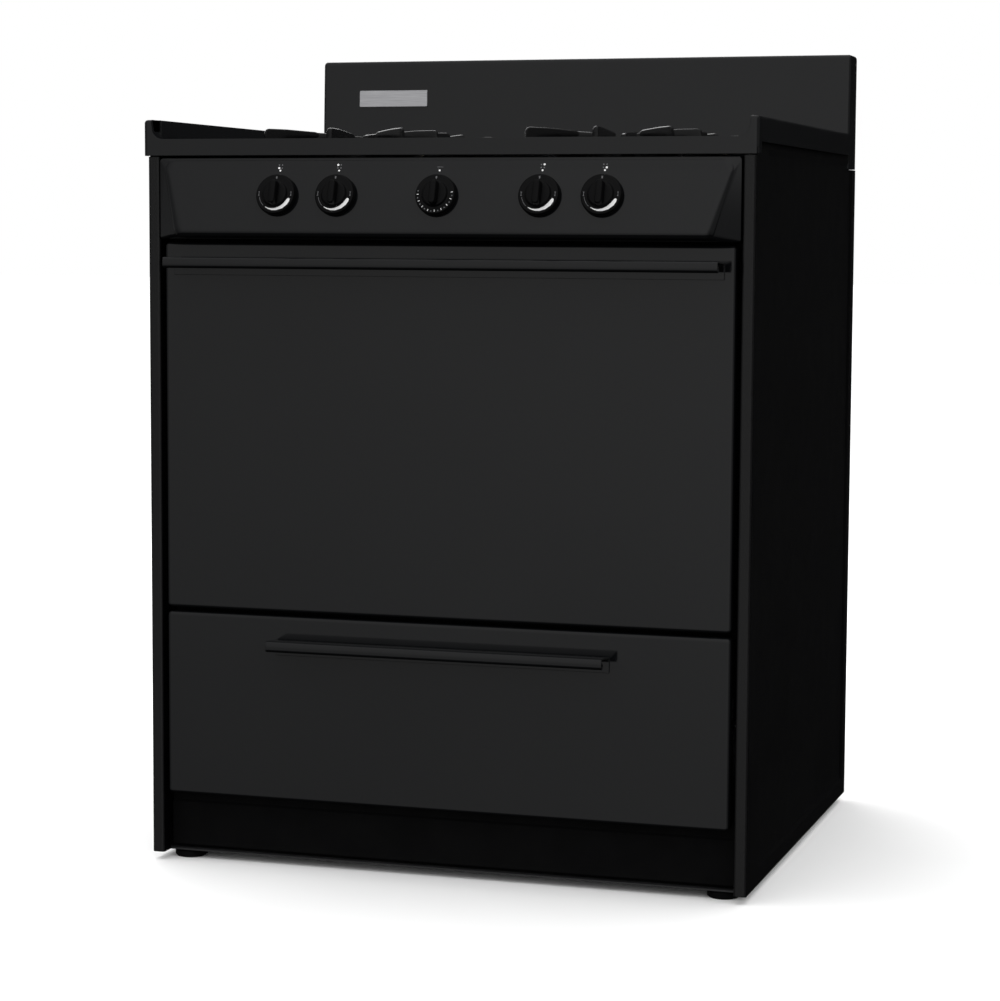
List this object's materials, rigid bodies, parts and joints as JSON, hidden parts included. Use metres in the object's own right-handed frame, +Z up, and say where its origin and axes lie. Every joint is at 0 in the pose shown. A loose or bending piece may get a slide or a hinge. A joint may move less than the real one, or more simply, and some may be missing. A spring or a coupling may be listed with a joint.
{
  "type": "freestanding gas range",
  "caption": "Freestanding porcelain-enamelled gas range with four open burners, sloped knob panel, solid drop-down oven door, pull-out broiler drawer and low backguard.",
  "frame": {"origin": "on the floor under the centre of the range's bounding box", "axes": "+X to the viewer's right, +Y to the back, +Z up"},
  "size_m": [0.762, 0.6834, 1.02],
  "materials": {
    "black_enamel": "gloss porcelain enamel",
    "textured_enamel": "fine textured baked enamel",
    "oven_enamel": "speckled porcelain enamel",
    "grate_enamel": "gloss porcelain on pressed steel",
    "black_steel": "satin paint",
    "galvanised": "galvanised sheet",
    "zinc_steel": "zinc plated",
    "aluminised_steel": "dull aluminised",
    "cast_aluminium": "cast",
    "valve_brass": "machined",
    "chrome_wire": "bright plated wire",
    "brushed_badge": "horizontally brushed",
    "knob_plastic": "moulded",
    "ceramic": "glazed ceramic and steel wire",
    "insulation_wool": "glass wool",
    "glass_braid": "woven glass braid"
  },
  "bodies": {
    "cabinet": {"side_panel_right": "textured_enamel", "side_panel_left": "textured_enamel", "back_panel": "galvanised", "base_frame": "black_steel", "levelling_feet": "black_steel", "kick_plate": "black_steel", "oven_liner": "oven_enamel", "front_frame": "black_enamel", "door_gasket": "glass_braid", "oven_floor": "oven_enamel", "oven_burner": "aluminised_steel", "flame_spreader": "aluminised_steel", "insulation": "insulation_wool", "rack_guides": "oven_enamel", "thermostat": "zinc_steel", "gas_manifold": "aluminised_steel", "pressure_regulator": "cast_aluminium", "safety_valve": "cast_aluminium", "oven_gas_tube": "cast_aluminium", "burner_box_floor": "galvanised", "burner_heads": "cast_aluminium", "burner_tubes": "aluminised_steel", "burner_valves": "valve_brass", "spark_electrodes": "ceramic", "cooktop_hinges": "zinc_steel", "control_panel": "black_enamel", "backguard": "black_enamel", "badge": "brushed_badge", "flue_duct": "galvanised", "hinge_receivers": "zinc_steel", "drawer_rails": "zinc_steel", "cabinet_screws": "zinc_steel"},
    "oven_door": {"door_panel": "black_enamel", "door_liner": "oven_enamel", "door_insulation": "insulation_wool", "door_hinge_arms": "zinc_steel", "door_handle": "black_enamel"},
    "broiler_drawer": {"drawer_front": "black_enamel", "drawer_box": "galvanised", "drawer_handle": "black_enamel", "broiler_pan": "oven_enamel", "broiler_grid": "oven_enamel"},
    "cooktop_lid": {"cooktop": "black_enamel", "drip_bowls": "black_enamel"},
    "rack_lower": {"oven_rack_lower": "chrome_wire"},
    "rack_upper": {"oven_rack_upper": "chrome_wire"},
    "grate_left_front_body": {"grate_left_front": "grate_enamel"},
    "grate_left_rear_body": {"grate_left_rear": "grate_enamel"},
    "grate_right_front_body": {"grate_right_front": "grate_enamel"},
    "grate_right_rear_body": {"grate_right_rear": "grate_enamel"},
    "valve_burner_left_front": {"stem_burner_left_front": "valve_brass"},
    "dial_burner_left_front": {"knob_burner_left_front": "knob_plastic"},
    "valve_burner_left_rear": {"stem_burner_left_rear": "valve_brass"},
    "dial_burner_left_rear": {"knob_burner_left_rear": "knob_plastic"},
    "valve_oven": {"stem_oven": "valve_brass"},
    "dial_oven": {"knob_oven": "knob_plastic"},
    "valve_burner_right_rear": {"stem_burner_right_rear": "valve_brass"},
    "dial_burner_right_rear": {"knob_burner_right_rear": "knob_plastic"},
    "valve_burner_right_front": {"stem_burner_right_front": "valve_brass"},
    "dial_burner_right_front": {"knob_burner_right_front": "knob_plastic"}
  },
  "joints": [
    {"name": "oven_door_hinge", "type": "hinge", "parent": "cabinet", "child": "oven_door", "pos_m": [0, -0.29025, 0.331], "axis": [1, 0, 0], "range_deg": [0, 88]},
    {"name": "drawer_slide", "type": "slide", "parent": "cabinet", "child": "broiler_drawer", "axis": [0, -1, 0], "range_m": [0, 0.34]},
    {"name": "cooktop_hinge", "type": "hinge", "parent": "cabinet", "child": "cooktop_lid", "pos_m": [0, 0.28075, 0.9084], "axis": [-1, 0, 0], "range_deg": [0, 33]},
    {"name": "rack_lower_slide", "type": "slide", "parent": "cabinet", "child": "rack_lower", "axis": [0, -1, 0], "range_m": [0, 0.028]},
    {"name": "rack_upper_slide", "type": "slide", "parent": "cabinet", "child": "rack_upper", "axis": [0, -1, 0], "range_m": [0, 0.028]},
    {"name": "grate_left_front_lift", "type": "slide", "parent": "cooktop_lid", "child": "grate_left_front_body", "axis": [0, 0, 1], "range_m": [0, 0.05]},
    {"name": "grate_left_rear_lift", "type": "slide", "parent": "cooktop_lid", "child": "grate_left_rear_body", "axis": [0, 0, 1], "range_m": [0, 0.05]},
    {"name": "grate_right_front_lift", "type": "slide", "parent": "cooktop_lid", "child": "grate_right_front_body", "axis": [0, 0, 1], "range_m": [0, 0.05]},
    {"name": "grate_right_rear_lift", "type": "slide", "parent": "cooktop_lid", "child": "grate_right_rear_body", "axis": [0, 0, 1], "range_m": [0, 0.05]},
    {"name": "knob_burner_left_front_push", "type": "slide", "parent": "cabinet", "child": "valve_burner_left_front", "axis": [0, 0.9564, -0.2922], "range_m": [0, 0.003], "stiffness_N_per_m": 1500, "springref_m": -0.002},
    {"name": "knob_burner_left_front_turn", "type": "hinge", "parent": "valve_burner_left_front", "child": "dial_burner_left_front", "pos_m": [-0.201, -0.31824, 0.8225], "axis": [0, -0.9564, 0.2922], "range_deg": [0, 220]},
    {"name": "knob_burner_left_rear_push", "type": "slide", "parent": "cabinet", "child": "valve_burner_left_rear", "axis": [0, 0.9564, -0.2922], "range_m": [0, 0.003], "stiffness_N_per_m": 1500, "springref_m": -0.002},
    {"name": "knob_burner_left_rear_turn", "type": "hinge", "parent": "valve_burner_left_rear", "child": "dial_burner_left_rear", "pos_m": [-0.126, -0.31824, 0.8225], "axis": [0, -0.9564, 0.2922], "range_deg": [0, 220]},
    {"name": "knob_oven_push", "type": "slide", "parent": "cabinet", "child": "valve_oven", "axis": [0, 0.9564, -0.2922], "range_m": [0, 0.003], "stiffness_N_per_m": 1500, "springref_m": -0.002},
    {"name": "knob_oven_turn", "type": "hinge", "parent": "valve_oven", "child": "dial_oven", "pos_m": [0, -0.31824, 0.8225], "axis": [0, -0.9564, 0.2922], "range_deg": [0, 300]},
    {"name": "knob_burner_right_rear_push", "type": "slide", "parent": "cabinet", "child": "valve_burner_right_rear", "axis": [0, 0.9564, -0.2922], "range_m": [0, 0.003], "stiffness_N_per_m": 1500, "springref_m": -0.002},
    {"name": "knob_burner_right_rear_turn", "type": "hinge", "parent": "valve_burner_right_rear", "child": "dial_burner_right_rear", "pos_m": [0.126, -0.31824, 0.8225], "axis": [0, -0.9564, 0.2922], "range_deg": [0, 220]},
    {"name": "knob_burner_right_front_push", "type": "slide", "parent": "cabinet", "child": "valve_burner_right_front", "axis": [0, 0.9564, -0.2922], "range_m": [0, 0.003], "stiffness_N_per_m": 1500, "springref_m": -0.002},
    {"name": "knob_burner_right_front_turn", "type": "hinge", "parent": "valve_burner_right_front", "child": "dial_burner_right_front", "pos_m": [0.201, -0.31824, 0.8225], "axis": [0, -0.9564, 0.2922], "range_deg": [0, 220]}
  ]
}
